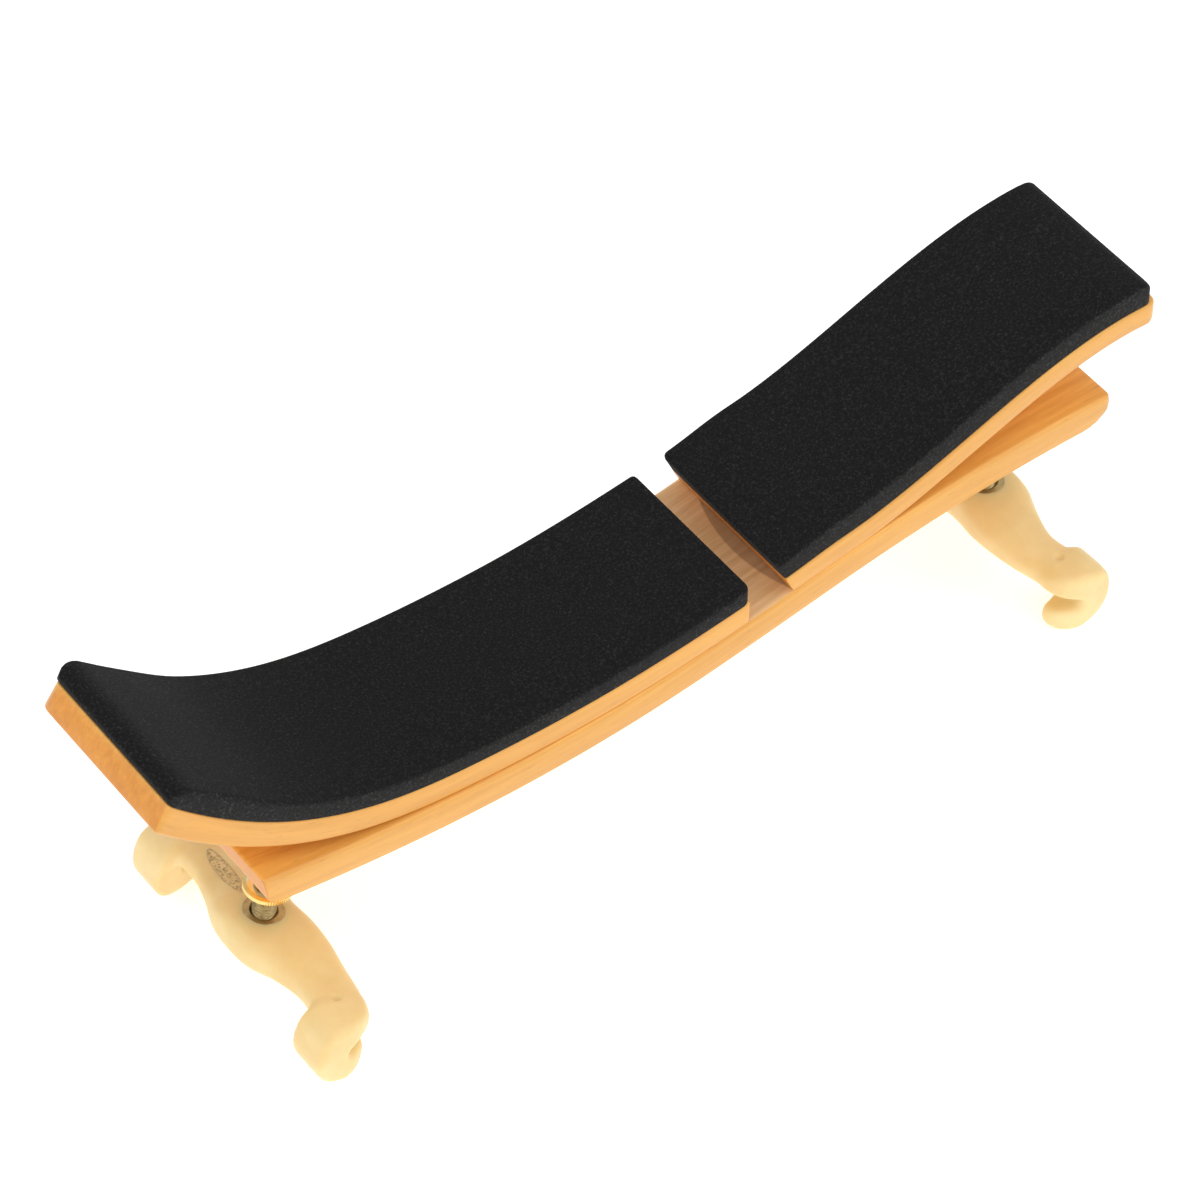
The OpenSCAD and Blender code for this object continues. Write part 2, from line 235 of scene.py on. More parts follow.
def revolve(profile, n=64, wave=None):
    """Closed solid of revolution about Z through [radius, z] points; the first and last lie on the axis
    or the outline is a closed loop. wave(i, angle) changes the radius of point i."""
    profile = np.asarray(profile, float)
    turn = np.arange(n) * 2 * math.pi / n
    solid = profile[0][0] == 0 and profile[-1][0] == 0
    inner = profile[1:-1] if solid else profile
    rings = []
    for i, (r, z) in enumerate(inner):
        rr = r + (wave(i, turn) if wave else 0)
        rings.append(np.stack([rr * np.cos(turn), rr * np.sin(turn), np.full(n, z)], -1))
    points = np.concatenate(rings)
    m = len(inner)
    pairs = [(i, i + 1) for i in range(m - 1)] + ([] if solid else [(m - 1, 0)])
    faces = [[a * n + j, a * n + (j + 1) % n, b * n + (j + 1) % n, b * n + j]
             for a, b in pairs for j in range(n)]
    if solid:
        points = np.concatenate([points, [[0, 0, profile[0][1]], [0, 0, profile[-1][1]]]])
        base, tip = m * n, m * n + 1
        faces += [[base, (j + 1) % n, j] for j in range(n)]
        faces += [[tip, (m - 1) * n + j, (m - 1) * n + (j + 1) % n] for j in range(n)]
    return points, faces


# ---------- places of the forks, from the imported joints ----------

def fork_frame(side, mirrored=False):
    """Matrix from a fork's own frame to the part's, in mm: Z up the stem, Y across the rest.
    X points right, or towards the rest's middle when mirrored."""
    joint = next(j for j in frame["joints"] if j["name"] == side + "_swivel")
    hub = np.array(joint["pos_m"]) / MM
    up = np.array(joint["axis"])
    along = np.array([up[2], 0, -up[0]]) * (-1 if mirrored and side == "right" else 1)
    m = np.eye(4)
    m[:3, 0], m[:3, 1], m[:3, 2], m[:3, 3] = along, [0, 1, 0], up, hub
    return m


def moved(points, matrix):
    """Points after a matrix."""
    return np.asarray(points) @ matrix[:3, :3].T + matrix[:3, 3]


SIDES = ("left", "right")
# bare length of each stem, between the fork's top and the bar
REACH = {"left": 26.5, "right": 26.0}


# ---------- materials ----------

def new_material(name):
    m = bpy.data.materials.new(name)
    m.use_nodes = True
    return m, m.node_tree.nodes, m.node_tree.links, m.node_tree.nodes["Principled BSDF"]


def add(nodes, kind, **values):
    """New shader node; each value is for one of its inputs or settings."""
    node = nodes.new("ShaderNode" + kind)
    for key, value in values.items():
        if key in node.inputs:
            node.inputs[key].default_value = value
        else:
            setattr(node, key, value)
    return node


def connect(links, value, socket):
    """Links an output to a socket, or sets the socket to a plain value."""
    if isinstance(value, bpy.types.NodeSocket):
        links.new(value, socket)
    else:
        socket.default_value = value


def fed(nodes, links, kind, *sources, **values):
    """First output of a new node whose first inputs are, in order, the given outputs or values."""
    node = add(nodes, kind, **values)
    for place, source in enumerate(sources):
        connect(links, source, node.inputs[place])
    return node.outputs[0]


def mixed(nodes, links, share, a, b, blend="MIX"):
    """Colour b mixed over colour a."""
    node = add(nodes, "Mix", data_type="RGBA", blend_type=blend)
    for value, place in ((share, 0), (a, 6), (b, 7)):
        connect(links, value, node.inputs[place])
    return node.outputs[2]


def ramp(nodes, links, source, stops):
    """Colour or grey that follows a value, through (place, colour) stops."""
    node = nodes.new("ShaderNodeValToRGB")
    e = node.color_ramp.elements
    while len(e) < len(stops):
        e.new(0.5)
    for element, (place, value) in zip(e, stops):
        element.position = place
        element.color = (*value, 1) if hasattr(value, "__len__") else (value, value, value, 1)
    links.new(source, node.inputs[0])
    return node.outputs[0]


def step(nodes, links, value, start, stop, top=1.0):
    """Smooth step from 0 at start to top at stop."""
    return fed(nodes, links, "MapRange", value, interpolation_type="SMOOTHSTEP",
               **{"From Min": start, "From Max": stop, "To Max": top})


def split(nodes, links, vector):
    """The three parts of a vector."""
    node = add(nodes, "SeparateXYZ")
    links.new(vector, node.inputs[0])
    return node.outputs


def set_gloss(nodes, links, bsdf, pattern, least, most):
    """Roughness that follows a pattern."""
    rough = fed(nodes, links, "MapRange", pattern, **{"To Min": least, "To Max": most})
    links.new(rough, bsdf.inputs["Roughness"])


def set_bump(nodes, links, bsdf, pattern, strength, distance):
    """Relief that follows a pattern; the distance is in metres."""
    bump = add(nodes, "Bump", Strength=strength, Distance=distance)
    links.new(pattern, bump.inputs["Height"])
    links.new(bump.outputs[0], bsdf.inputs["Normal"])


def set_inputs(bsdf, **values):
    """Plain values of a shader's inputs; underscores stand for spaces."""
    for key, value in values.items():
        bsdf.inputs[key.replace("_", " ")].default_value = value


# the bar is bare wood between the boards, lightened further there as painted light, with a painted shadow in
# a crescent against the right board's foot (mm)
BARE_LIT_FROM, BARE_LIT_TO, BARE_LIT_BLUR = 15.0, 28.5, 0.5
SHADOW_FOOT, SHADOW_DEEP, SHADOW_MIDDLE, SHADOW_HALF = 27.3, 3.0, -3.0, 15.5


def bare_lit_strip(nodes, links, place, upward, fibres, varnished):
    """Mixes the bare wood, lightened further as painted light, and the painted shadow of the right board's
    foot over a colour. place is a point's place along and across the bar in metres, upward the Z of its
    normal."""
    def calculated(operation, *terms):
        return fed(nodes, links, "Math", *terms, operation=operation)

    after = step(nodes, links, place[0], (BARE_LIT_FROM - BARE_LIT_BLUR) * MM, (BARE_LIT_FROM + BARE_LIT_BLUR) * MM)
    before = step(nodes, links, place[0], (BARE_LIT_TO + BARE_LIT_BLUR) * MM, (BARE_LIT_TO - BARE_LIT_BLUR) * MM)
    top = step(nodes, links, upward, 0.80, 0.97)
    share = calculated("MULTIPLY", calculated("MULTIPLY", after, top), before)
    # bare, unvarnished wood, paler in hue, and lightened further as painted light in the gap between the
    # boards
    raw_lit = ramp(nodes, links, fibres, [(0.34, (0.77, 0.45, 0.19)), (0.64, (0.98, 0.64, 0.33))])
    # painted shadow: a dark crescent against the right board's foot, where the board shades the bar
    across = calculated("MULTIPLY_ADD", place[1], 1 / (SHADOW_HALF * MM), -SHADOW_MIDDLE / SHADOW_HALF)
    square = calculated("MULTIPLY", across, across)
    limit = calculated("MULTIPLY_ADD", square, SHADOW_DEEP * MM, (SHADOW_FOOT - SHADOW_DEEP) * MM)
    beyond = calculated("SUBTRACT", place[0], limit)
    painted_shadow = step(nodes, links, beyond, -0.1 * MM, 0.4 * MM, top=0.58)
    shadowed = mixed(nodes, links, painted_shadow, raw_lit, (0.26, 0.15, 0.085, 1))
    return mixed(nodes, links, share, varnished, shadowed)


def wood(name, shaded_side_light, shaded_side_dark, lit_face_light, lit_face_dark, bare_lit=False):
    """Varnished maple: fine fibres along the board, with painted shade on the edges and painted light on the
    wide faces.
    """
    m, nodes, links, bsdf = new_material(name)
    grain = add(nodes, "Attribute", attribute_name="grain").outputs["Vector"]

    def streaks(scale, **values):
        """Noise with its own scale along, across and off the board."""
        stretched = fed(nodes, links, "Mapping", grain, Scale=scale)
        return fed(nodes, links, "TexNoise", stretched, Scale=1.0, **values)

    fibres = streaks((28, 620, 420), Detail=6.0, Roughness=0.62, Distortion=0.35)
    bands = streaks((9, 95, 70), Detail=3.0, Roughness=0.5, Distortion=0.8)
    pores = streaks((240, 2300, 2300), Detail=2.0, Roughness=0.6)
    both = add(nodes, "Mix", data_type="FLOAT")
    for value, place in ((0.3, 0), (fibres, 2), (bands, 3)):
        connect(links, value, both.inputs[place])
    # painted shade and light: the sides take a darker copy of the wood's colour and the wide faces a lighter
    # one, mixed by how far a face turns up
    edge = ramp(nodes, links, both.outputs[0], [(0.36, shaded_side_dark), (0.62, shaded_side_light)])
    face = ramp(nodes, links, both.outputs[0], [(0.36, lit_face_dark), (0.62, lit_face_light)])
    normal = split(nodes, links, add(nodes, "NewGeometry").outputs["Normal"])
    flat = fed(nodes, links, "Math", normal[2], operation="ABSOLUTE")
    colour = mixed(nodes, links, ramp(nodes, links, flat, [(0.35, 0.0), (0.75, 1.0)]), edge, face)
    # the ends, where the fibres are cut across, take the varnish deeper, and are darkened further as painted
    # shade
    turned = fed(nodes, links, "Math", normal[0], operation="ABSOLUTE")
    end_grain_and_shade = ramp(nodes, links, turned, [(0.62, (1.0, 1.0, 1.0)), (0.74, (0.92, 0.74, 0.50))])
    colour = mixed(nodes, links, 1.0, colour, end_grain_and_shade, "MULTIPLY")
    if bare_lit:
        colour = bare_lit_strip(nodes, links, split(nodes, links, grain), normal[2], fibres, colour)
    # short darker pores
    dark = ramp(nodes, links, pores, [(0.27, 0.80), (0.40, 1.0)])
    colour = mixed(nodes, links, 0.75, colour, dark, "MULTIPLY")
    links.new(colour, bsdf.inputs["Base Color"])
    set_gloss(nodes, links, bsdf, fibres, 0.34, 0.5)
    set_bump(nodes, links, bsdf, fibres, 0.12, 0.0002)
    set_inputs(bsdf, Coat_Weight=0.25, Coat_Roughness=0.22, Specular_IOR_Level=0.4)
    return m


def foam_material():
    """Near-black closed-cell foam with a fine speckle."""
    m, nodes, links, bsdf = new_material("foam_black")
    grain = add(nodes, "Attribute", attribute_name="grain").outputs["Vector"]
    cells = fed(nodes, links, "TexVoronoi", grain, Scale=2600.0)
    fine = fed(nodes, links, "TexNoise", grain, Scale=1900.0, Detail=3.0, Roughness=0.8)
    tone = ramp(nodes, links, fine, [(0.36, 0.0045), (0.54, 0.0085), (0.72, 0.034)])
    # painted light: the cut sides are painted paler than the skin, as where light falls on them
    normal = split(nodes, links, add(nodes, "NewGeometry").outputs["Normal"])
    side = ramp(nodes, links, normal[2], [(0.35, 1.6), (0.7, 1.0)])
    links.new(mixed(nodes, links, 1.0, tone, side, "MULTIPLY"), bsdf.inputs["Base Color"])
    height = fed(nodes, links, "Math", cells, fine, operation="ADD")
    set_bump(nodes, links, bsdf, height, 0.35, 0.00012)
    set_inputs(bsdf, Roughness=0.88, Specular_IOR_Level=0.14, Sheen_Weight=0.03, Sheen_Roughness=0.5)
    return m


def rubber_material():
    """Soft translucent cream rubber, satin, a little mottled."""
    m, nodes, links, bsdf = new_material("rubber_cream")
    place = add(nodes, "TexCoord").outputs["Object"]
    mottle = fed(nodes, links, "TexNoise", place, Scale=130.0, Detail=3.0, Roughness=0.5)
    tone = ramp(nodes, links, mottle, [(0.30, (0.79, 0.59, 0.26)), (0.70, (0.86, 0.69, 0.35))])
    links.new(tone, bsdf.inputs["Base Color"])
    skin = fed(nodes, links, "TexNoise", place, Scale=2400.0, Detail=3.0, Roughness=0.6)
    set_bump(nodes, links, bsdf, skin, 0.10, 0.00008)
    set_gloss(nodes, links, bsdf, mottle, 0.36, 0.52)
    set_inputs(bsdf, Subsurface_Weight=0.45, Subsurface_Radius=(1.0, 0.55, 0.25),
               Subsurface_Scale=0.003, Specular_IOR_Level=0.45)
    return m


def speckled(name, scale, detail, stops):
    """Matt material in two tones; the stops are the ramp's."""
    m, nodes, links, bsdf = new_material(name)
    place = add(nodes, "TexCoord").outputs["Object"]
    spots = fed(nodes, links, "TexNoise", place, Scale=scale, Detail=detail)
    links.new(ramp(nodes, links, spots, stops), bsdf.inputs["Base Color"])
    bsdf.inputs["Roughness"].default_value = 0.5
    return m


def metal(name, light, dark, rough):
    """Machined metal with fine tool marks and uneven polish."""
    m, nodes, links, bsdf = new_material(name)
    place = add(nodes, "TexCoord").outputs["Object"]
    spots = fed(nodes, links, "TexNoise", place, Scale=900.0, Detail=4.0, Roughness=0.65)
    links.new(ramp(nodes, links, spots, [(0.32, dark), (0.62, light)]), bsdf.inputs["Base Color"])
    set_gloss(nodes, links, bsdf, spots, rough - 0.07, rough + 0.1)
    set_bump(nodes, links, bsdf, spots, 0.08, 0.00005)
    bsdf.inputs["Metallic"].default_value = 1.0
    return m


BAR_WOOD = wood("maple_bar", (0.77, 0.385, 0.070), (0.67, 0.31, 0.046),
                (0.90, 0.485, 0.11), (0.74, 0.345, 0.066), bare_lit=True)
BOARD_WOOD = wood("maple_board", (0.77, 0.38, 0.064), (0.67, 0.305, 0.043),
                  (0.88, 0.47, 0.11), (0.74, 0.34, 0.066))
FOAM = foam_material()
RUBBER = rubber_material()
# painted shade: the raised dots are painted darker than the rubber, as where the bar shades them
SHADED_STIPPLE = speckled("rubber_stipple_shaded", 1500.0, 2.0, [(0.35, (0.40, 0.31, 0.15)), (0.65, (0.74, 0.60, 0.34))])
NYLON = speckled("nylon_natural", 700.0, 3.0, [(0.3, (0.68, 0.66, 0.60)), (0.7, (0.80, 0.79, 0.74))])
BRASS = metal("brass_turned", (0.88, 0.66, 0.30), (0.62, 0.42, 0.16), 0.27)
BRIGHT_BRASS = metal("brass_polished", (0.95, 0.70, 0.27), (0.88, 0.60, 0.20), 0.22)
# painted shade: the stem's brass is painted dark, as in the shade of the hub and the wheel
SHADED_BRASS = metal("brass_thread_shaded", (0.50, 0.38, 0.18), (0.26, 0.19, 0.085), 0.34)
TAN_BRASS = metal("brass_dull", (0.66, 0.52, 0.28), (0.50, 0.37, 0.17), 0.40)
# painted reflection: polished brass painted near white, as the white surroundings shine in it
POLISHED_GLARE = metal("brass_faced_glare", (0.97, 0.95, 0.88), (0.93, 0.89, 0.78), 0.12)
STEEL = metal("zinc_steel", (0.66, 0.67, 0.69), (0.42, 0.43, 0.45), 0.33)

# ---------- bar ----------

BAR_W = 38.4
BAR_ENDS = (-102.0, 111.0)
INSERT_PITCH = 13.0
INSERT_R = 3.7
LEFT_INSERTS = [-83.8 + i * INSERT_PITCH for i in range(3)]
RIGHT_INSERTS = [97.3 - i * INSERT_PITCH for i in range(3)]
SCREWS = {"left": [(-32, 0), (4, 0)], "right": [(35, -10), (35, 10)]}


def standing_on(line, x, y, depth):
    """Matrix that stands a shape on a line's surface, square to it."""
    px, pz = off_line(line, x, depth)
    slope = float((line_z(line, x + 0.1) - line_z(line, x - 0.1)) / 0.2)
    up = np.array([-slope, 0, 1]) / math.hypot(1, slope)
    m = np.eye(4)
    m[:3, 0], m[:3, 1], m[:3, 2] = [up[2], 0, -up[0]], [0, 1, 0], up
    m[:3, 3] = [float(px), y, float(pz)]
    return m


def tapered_box(half_x, half_y, low, high, taper=1.0):
    """Closed box on the Z axis; the taper is how wide in X its upper end is against the lower one."""
    points = [[sx * half_x * (taper if z == high else 1), sy * half_y, z]
              for z in (low, high) for sx in (-1, 1) for sy in (-1, 1)]
    faces = [[0, 1, 3, 2], [4, 6, 7, 5], [0, 4, 5, 1], [2, 3, 7, 6], [0, 2, 6, 4], [1, 5, 7, 3]]
    return np.array(points), faces


def cut_away(obj, cutters):
    """Takes closed shapes (points and faces, in millimetres) out of an object."""
    for points, faces in cutters:
        mesh = bpy.data.meshes.new("cutter")
        mesh.from_pydata((np.asarray(points) * MM).tolist(), [], faces)
        tool = bpy.data.objects.new("cutter", mesh)
        bpy.context.scene.collection.objects.link(tool)
        mod = obj.modifiers.new("cut", "BOOLEAN")
        mod.operation, mod.object, mod.solver = "DIFFERENCE", tool, "EXACT"
        bpy.context.view_layer.update()
        result = bpy.data.meshes.new_from_object(obj.evaluated_get(bpy.context.evaluated_depsgraph_get()))
        obj.modifiers.clear()
        old, name = obj.data, obj.data.name
        obj.data = result
        bpy.data.meshes.remove(old)
        result.name = name
        bpy.data.objects.remove(tool)
        bpy.data.meshes.remove(mesh)


def set_grain(obj, line):
    """Writes how far along the line, across it and off it every point lies."""
    mesh = obj.data
    co = np.zeros(len(mesh.vertices) * 3, np.float32)
    mesh.vertices.foreach_get("co", co)
    p = co.reshape(-1, 3).astype(float) / MM
    x = p[:, 0].copy()
    for _ in range(12):
        slope = (line_z(line, x + 0.1) - line_z(line, x - 0.1)) / 0.2
        size2 = 1 + slope**2
        x += ((p[:, 0] - x) + slope * (p[:, 2] - line_z(line, x))) / size2
    depth = (p[:, 2] - line_z(line, x)) * np.sqrt(size2)
    if "grain" in mesh.attributes:
        mesh.attributes.remove(mesh.attributes["grain"])
    layer = mesh.attributes.new("grain", "FLOAT_VECTOR", "POINT")
    layer.data.foreach_set("vector", (np.stack([x, p[:, 1], depth], -1) * MM).astype(np.float32).ravel())


half = BAR_W / 2
points, faces, grain = slab("bar", (-BAR_T, 0), [(BAR_ENDS[0], 50, 0), (BAR_ENDS[1], 50, 0)],
                            (-half, -half), (half, half), (1.2, 1.2, 1.2, 1.2), (1.1, 0.9),
                            rolls=[("right", "high", 7.0, 0.14), ("left", "high", 3.5, 0.56)])
bar = make_object("bar_bent", points, faces, BAR_WOOD, "rest", ["base_bar"], grain)
cutters = []
for x in LEFT_INSERTS + RIGHT_INSERTS:
    hole = revolve([[0, -1], [INSERT_R, -1], [INSERT_R, BAR_T + 1], [0, BAR_T + 1]], 72)
    cutters.append((moved(hole[0], standing_on("bar", x, 0, -BAR_T)), hole[1]))
for x, y in SCREWS["left"] + SCREWS["right"]:
    sink = revolve([[0, -1], [3.35, -1], [3.35, 0.4], [1.65, 2.2], [1.65, BAR_T - 1], [0, BAR_T - 1]], 48)
    cutters.append((moved(sink[0], standing_on("bar", x, y, -BAR_T)), sink[1]))
cut_away(bar, cutters)
set_grain(bar, "bar")

# ---------- boards ----------

LEFT_T, RIGHT_T = 6.2, 6.0
LEFT_PAD_T, RIGHT_PAD_T = 4.5, 6.2
LEFT_INNER, RIGHT_INNER, RIGHT_OUTER = 16.1, 24.8, 121.9
# X and Z of the lower and the upper edge of the left board's outer end
LEFT_TIP, LEFT_CROWN = (-123.3, 87.0), (-119.5, 92.1)
left_lean = (LEFT_CROWN[0] - LEFT_TIP[0]) / (LEFT_CROWN[1] - LEFT_TIP[1])
LEFT_CUTS = [(*LEFT_TIP, left_lean), (LEFT_INNER, 50, 0)]
# the right board's inner end leans over the bar
END_LEAN = -math.tan(math.radians(23))
foot_z = float(line_z("bar", RIGHT_INNER))
RIGHT_CUTS = [(RIGHT_INNER - RIGHT_T * END_LEAN, foot_z, END_LEAN), (RIGHT_OUTER, 65, 0)]
# the left board lies slightly turned, and widens towards its outer end
LEFT_NEAR = (1.6 - half, -half)
LEFT_FAR = (3.0 + half, half)

points, faces, grain = slab("left", (0.02, LEFT_T), LEFT_CUTS, LEFT_NEAR, LEFT_FAR,
                            (0.9, 4.0, 0.9, 0.9), (0.7, 0.5))
make_object("left_board_bent", points, faces, BOARD_WOOD, "rest", ["left_board"], grain)
points, faces, grain = slab("right", (0.02, RIGHT_T), RIGHT_CUTS, (-half, -half), (half, half),
                            (0.3, 1.4, 2.5, 3.5), (1.0, 0.5), rolls=[("right", "high", 2.5, 0.5)])
make_object("right_board_bent", points, faces, BOARD_WOOD, "rest", ["right_board"], grain)


# ---------- pads ----------

def soft_relief(seed, size, swell=0.0, middle=0.0, width=9.0):
    """Slight unevenness of a foam's surface: a few long waves, and a swelling across the pad."""
    random = np.random.default_rng(seed)
    waves = [(random.uniform(0.05, 0.3), random.uniform(0, 6.3), random.uniform(0, 6.3)) for _ in range(9)]

    def relief(x, y):
        total = np.zeros_like(x)
        for k, heading, phase in waves:
            total += np.sin(k * (x * math.cos(heading) + y * math.sin(heading)) + phase)
        return size * total / 3 + swell * np.exp(-((x - middle) / width) ** 2)
    return relief


GAP = 0.05
left_pad_cut = (LEFT_TIP[0] + 0.2, LEFT_TIP[1], left_lean)
points, faces, grain = slab("left", (LEFT_T + GAP, LEFT_T + LEFT_PAD_T), [left_pad_cut, LEFT_CUTS[1]],
                            LEFT_NEAR, LEFT_FAR, (0.9, 3.0, 2.0, 1.2),
                            (0.2, 1.0), crown=0.3, relief=soft_relief(3, 0.05, 0.6, -112.0, 9.0),
                            rolls=[("left", "low", 4.0, 0.25)])
left_pad = make_object("left_pad_foam", points, faces, FOAM, "rest", ["left_pad"], grain, sharp=70)
points, faces, grain = slab("right", (RIGHT_T + GAP, RIGHT_T + RIGHT_PAD_T),
                            [RIGHT_CUTS[0], (RIGHT_OUTER - 0.8, 65, 0)],
                            (0.4 - half, 0.4 - half), (half, half), (0.5, 1.6, 2.8, 1.0),
                            (0.2, 1.0), crown=0.3, relief=soft_relief(8, 0.05),
                            rolls=[("right", "low", 4.0, 0.4)])
right_pad = make_object("right_pad_foam", points, faces, FOAM, "rest", ["right_pad"], grain, sharp=70)

# ---------- threads ----------

STEM_R = 2.5
THREAD_PITCH = 0.8
THREAD_DEPTH = 0.42


def thread(z, angle):
    """Depth of a right-handed thread below its crest."""
    f = (z / THREAD_PITCH - angle / (2 * math.pi)) % 1.0
    return THREAD_DEPTH * np.clip(1.25 * np.abs(2 * f - 1) - 0.12, 0, 1)


def stem(reach):
    """Threaded stem with a captive foot, its end chamfered."""
    top = reach + BAR_T - 1
    foot_low, foot_high, foot_r = -7.0, -5.2, 3.35
    thread_from = -1.0
    zs = np.arange(thread_from, top, 0.1)
    rows = [[0, foot_low], [foot_r - 0.2, foot_low], [foot_r, foot_low + 0.2], [foot_r, foot_high - 0.1],
            [foot_r - 0.1, foot_high], [STEM_R, foot_high], [STEM_R, thread_from - 0.3]]
    plain = len(rows) - 1
    rows += [[STEM_R, z] for z in zs] + [[STEM_R - THREAD_DEPTH - 0.1, top], [0, top]]

    def wave(i, angle):
        if i < plain or i >= plain + len(zs):
            return 0
        z = zs[i - plain]
        run_in = smooth((z - thread_from) / 0.8)
        chamfer = max(0, z - (top - 0.5))
        cut = np.maximum(thread(z, angle) * run_in, chamfer)
        return -cut
    return revolve(rows, 48, wave)


def slotted(obj, matrix, top):
    """Screwdriver slot across a stem's end."""
    half_width, depth = 0.4, 1.2
    box, sides = tapered_box(4, half_width, top - depth, top + 1)
    cut_away(obj, [(moved(box, matrix), sides)])


def insert_piece():
    """Threaded brass sleeve, its bore open at both ends."""
    sink, wall = 0.15, STEM_R + 0.05
    low, high = sink, BAR_T - sink
    zs = np.arange(low + 0.5, high - 0.4, 0.1)
    rows = [[INSERT_R - 0.05, low + 0.25], [INSERT_R - 0.05, high - 0.25],
            [INSERT_R - 0.3, high], [wall + 0.5, high]]
    outer = len(rows)
    rows += [[wall, z] for z in zs[::-1]] + [[wall + 0.5, low], [INSERT_R - 0.3, low]]

    def wave(i, angle):
        if i < outer or i >= outer + len(zs):
            return 0
        return 0.35 - thread(zs[::-1][i - outer], angle) * 0.35 / THREAD_DEPTH
    return revolve(rows, 48, wave)


def joined(parts):
    """One mesh out of several pairs of points and faces."""
    points, faces, first = [], [], 0
    for p, f in parts:
        points.append(np.asarray(p))
        faces += [[first + i for i in face] for face in f]
        first += len(p)
    return np.concatenate(points), faces


# ---------- thumb wheel, bush and screws ----------

WHEEL_Z, WHEEL_T, WHEEL_R = 6.1, 1.8, 5.2


def thumb_wheel():
    """Thin wheel with a finely serrated rim and bevelled faces."""
    teeth, dip = 60, 0.07
    z0, z1 = WHEEL_Z, WHEEL_Z + WHEEL_T
    rows = [[STEM_R + 0.02, z0 + 0.15], [STEM_R + 0.2, z0],
            [WHEEL_R - 0.75, z0], [WHEEL_R - 0.55, z0 + 0.08], [WHEEL_R, z0 + 0.45],
            [WHEEL_R, z1 - 0.45], [WHEEL_R - 0.55, z1 - 0.08], [WHEEL_R - 0.75, z1],
            [STEM_R + 0.2, z1], [STEM_R + 0.02, z1 - 0.15]]

    def wave(i, angle):
        return -dip * (0.5 - 0.5 * np.cos(teeth * angle)) if i in (4, 5) else 0
    return revolve(rows[::-1], 288, wave)


def cap_bush():
    """Flanged bush that closes the cup; the stem runs in it."""
    r, bore = 4.25, STEM_R + 0.05
    rows = [[bore, -4.9], [3.4, -4.9], [3.4, -1.0], [r, -1.0],
            [r, -0.12], [r - 0.12, 0], [bore + 0.45, 0], [bore, -0.4]]
    return revolve(rows, 96)


def recessed_screw():
    """Countersunk screw with a pointed end, head down; its cross recess is cut later."""
    rows = [[0, 0], [3.15, 0], [3.3, 0.12], [3.3, 0.4], [1.6, 2.2], [1.6, 9.5], [0.2, 12], [0, 12]]
    return revolve(rows, 48)


for side in SIDES:
    body = side + "_spindle"
    m = fork_frame(side)
    p, f = stem(REACH[side])
    obj = make_object(side + "_stem_threaded", moved(p, m), f, SHADED_BRASS, body,
                      [side + "_stem"], sharp=50)
    slotted(obj, m, REACH[side] + BAR_T - 1)
    p, f = thumb_wheel()
    wheel = make_object(side + "_wheel_serrated", moved(p, m), f, BRIGHT_BRASS, body,
                        [side + "_thumb_wheel"])
    # the wheel's flat faces take the brass with the painted reflection
    wheel.data.materials.append(POLISHED_GLARE)
    for face in wheel.data.polygons:
        if abs(face.normal.dot(Vector(m[:3, 2]))) > 0.95:
            face.material_index = 1
    p, f = cap_bush()
    make_object(side + "_bush_flanged", moved(p, m), f, TAN_BRASS, side + "_fork",
                [side + "_cap_bush"])
    xs = LEFT_INSERTS if side == "left" else RIGHT_INSERTS
    p, f = insert_piece()
    p, f = joined([(moved(p, standing_on("bar", x, 0, -BAR_T)), f) for x in xs])
    make_object(side + "_inserts_threaded", p, f, BRASS, "rest", [side + "_inserts"])
    p, f = recessed_screw()
    p, f = joined([(moved(p, standing_on("bar", x, y, -BAR_T)), f) for x, y in SCREWS[side]])
    screws = make_object(side + "_screws_cross", p, f, STEEL, "rest", [side + "_board_screws"])
    cuts = []
    for x, y in SCREWS[side]:
        for turn in (0, math.pi / 2):
            c, s = math.cos(turn), math.sin(turn)
            box, sides = tapered_box(1.9, 0.4, -0.5, 1.5, taper=0.7 / 1.9)
            box = box @ np.array([[c, s, 0], [-s, c, 0], [0, 0, 1]])
            cuts.append((moved(box, standing_on("bar", x, y, -BAR_T)), sides))
    cut_away(screws, cuts)

# ---------- forks: a signed distance field turned into a mesh, in the fork's own frame ----------

# the arm's section at distances from the hub: its X on both sides, then its top and its underside
OUTER = [[0, -8.2], [6, -7.6], [12, -5.3], [18, -3.8], [24, -4.4], [30, -5.2]]
INNER = [[0, 8.0], [6, 8.6], [12, 8.6], [18, 7.7], [24, 6.6], [30, 5.2]]
TOP = [[0, 0.6], [6, 0.3], [12, -1.2], [18, -2.3], [24, -2.3], [30, -2.7]]
LOW = [[0, -9.9], [6, -9.6], [12, -8.5], [18, -8.0], [23, -7.5], [30, -6.9]]
ARM_END, ARM_POWER = 31.0, 2.8
# the claw's outline in X and Z, and where it begins and ends along the arm
CLAW_START, CLAW_END = 23.0, 33.2
CLAW = [[0, -2.2], [-4.2, -2.6], [-7.3, -5.0], [-8.3, -9.4], [-7.8, -13.2], [-5.6, -16.3], [-2.4, -17.7],
        [0.8, -18.05], [3.6, -17.7], [5.1, -16.4], [5.6, -14.2], [4.6, -12.4], [1.6, -12.2], [0, -11.7],
        [-0.7, -10.6], [-0.3, -9.4], [1.0, -8.8], [3.0, -8.0], [4.6, -6.7], [5.1, -5.0], [3.2, -3.0]]
# a moulding mark on top of each arm: its place and radius
DIMPLE = (0.3, 24.7, -1.8, 1.0)


def blend_min(a, b, k):
    """Union of two distance fields, rounded over about k."""
    h = np.clip(0.5 + 0.5 * (b - a) / k, 0, 1)
    return b + (a - b) * h - k * h * (1 - h)


